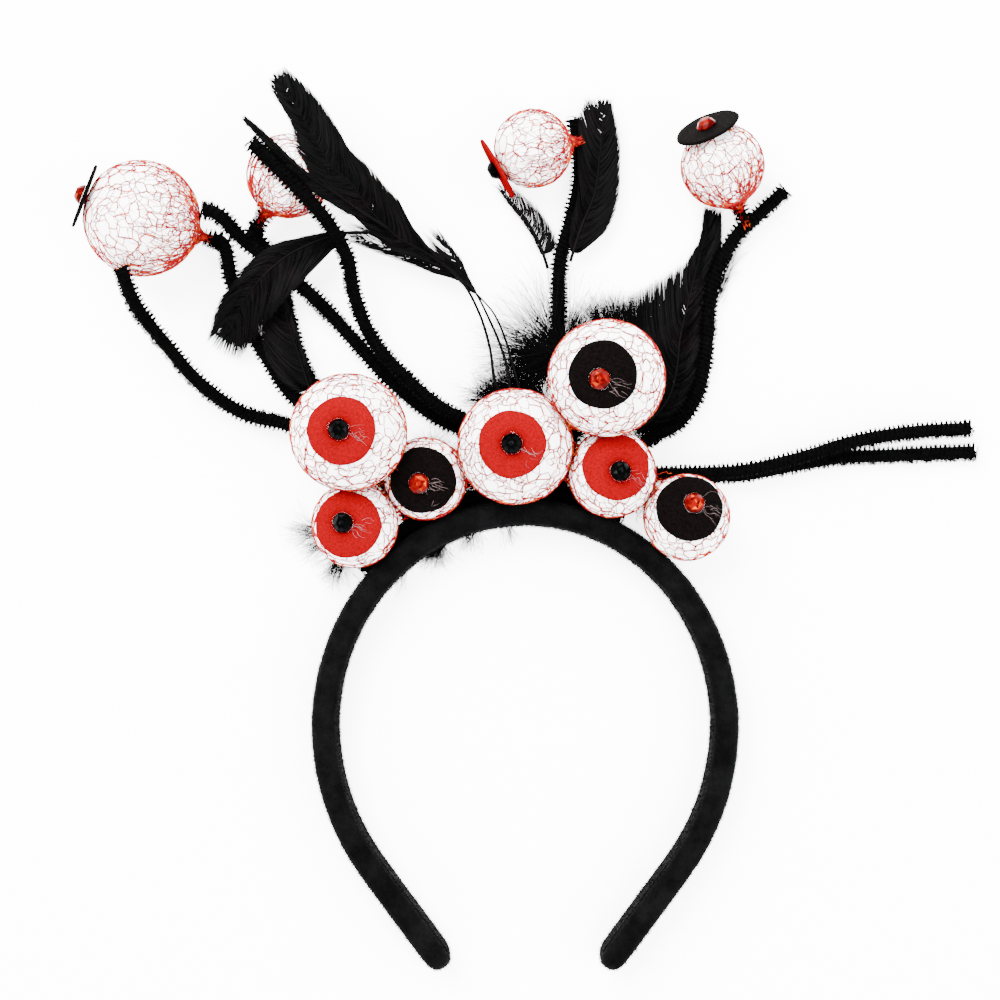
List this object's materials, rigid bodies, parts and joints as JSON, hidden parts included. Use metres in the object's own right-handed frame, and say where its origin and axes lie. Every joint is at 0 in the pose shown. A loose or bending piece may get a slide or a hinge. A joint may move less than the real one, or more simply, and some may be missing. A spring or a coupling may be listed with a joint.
{
  "type": "costume headband",
  "caption": "Halloween headband: a padded black velvet alice band with foam eyeballs on its crown and on chenille stems, among black feathers.",
  "frame": {"origin": "middle of the crown, on the flat strip of the band's back edge", "axes": "+Z out of the band's front, +Y up out of the crown, +X to the right of someone who looks at the front"},
  "size_m": [0.3204, 0.3137, 0.058],
  "materials": {
    "velvet": "matt black velvet with a short nap",
    "foam": "smooth matt white foam under thin red netting",
    "felt_red": "matt felt",
    "felt_black": "matt felt",
    "stone_red": "clear faceted stone, glossy",
    "stone_black": "faceted stone, glossy",
    "net": "fine red net, gathered and tied",
    "chenille": "short black pile on a twisted wire",
    "plume": "black feather with a soft sheen"
  },
  "bodies": {
    "root": {"headband": "velvet", "ball_high_left": "foam", "iris_high_left": "felt_red", "gem_high_left": "stone_black", "ball_low_left": "foam", "iris_low_left": "felt_red", "gem_low_left": "stone_black", "ball_near_left": "foam", "iris_near_left": "felt_black", "gem_near_left": "stone_red", "ball_middle": "foam", "iris_middle": "felt_red", "gem_middle": "stone_black", "ball_high_right": "foam", "iris_high_right": "felt_black", "gem_high_right": "stone_red", "ball_near_right": "foam", "iris_near_right": "felt_red", "gem_near_right": "stone_black", "ball_low_right": "foam", "iris_low_right": "felt_black", "gem_low_right": "stone_red", "ball_stalk_left": "foam", "iris_stalk_left": "felt_black", "gem_stalk_left": "stone_red", "ball_stalk_inner": "foam", "iris_stalk_inner": "felt_red", "gem_stalk_inner": "stone_black", "ball_stalk_middle": "foam", "iris_stalk_middle": "felt_red", "gem_stalk_middle": "stone_black", "ball_stalk_right": "foam", "iris_stalk_right": "felt_black", "gem_stalk_right": "stone_red", "net_tie_left": "net", "net_tie_inner": "net", "net_tie_middle": "net", "net_tie_right": "net", "stem_left_free": "chenille", "stem_left_long": "chenille", "stem_inner_free": "chenille", "stem_left_short": "chenille", "stem_inner": "chenille", "stem_middle": "chenille", "stem_right": "chenille", "stem_side_upper": "chenille", "stem_side_lower": "chenille", "feather_tall": "plume", "feather_narrow": "plume", "feather_wisp": "plume", "feather_hook": "plume", "feather_curled": "plume", "feather_tucked": "plume", "feather_under_eye": "plume", "feather_upright": "plume", "feather_downy": "plume", "down_tuft": "plume"}
  },
  "joints": []
}
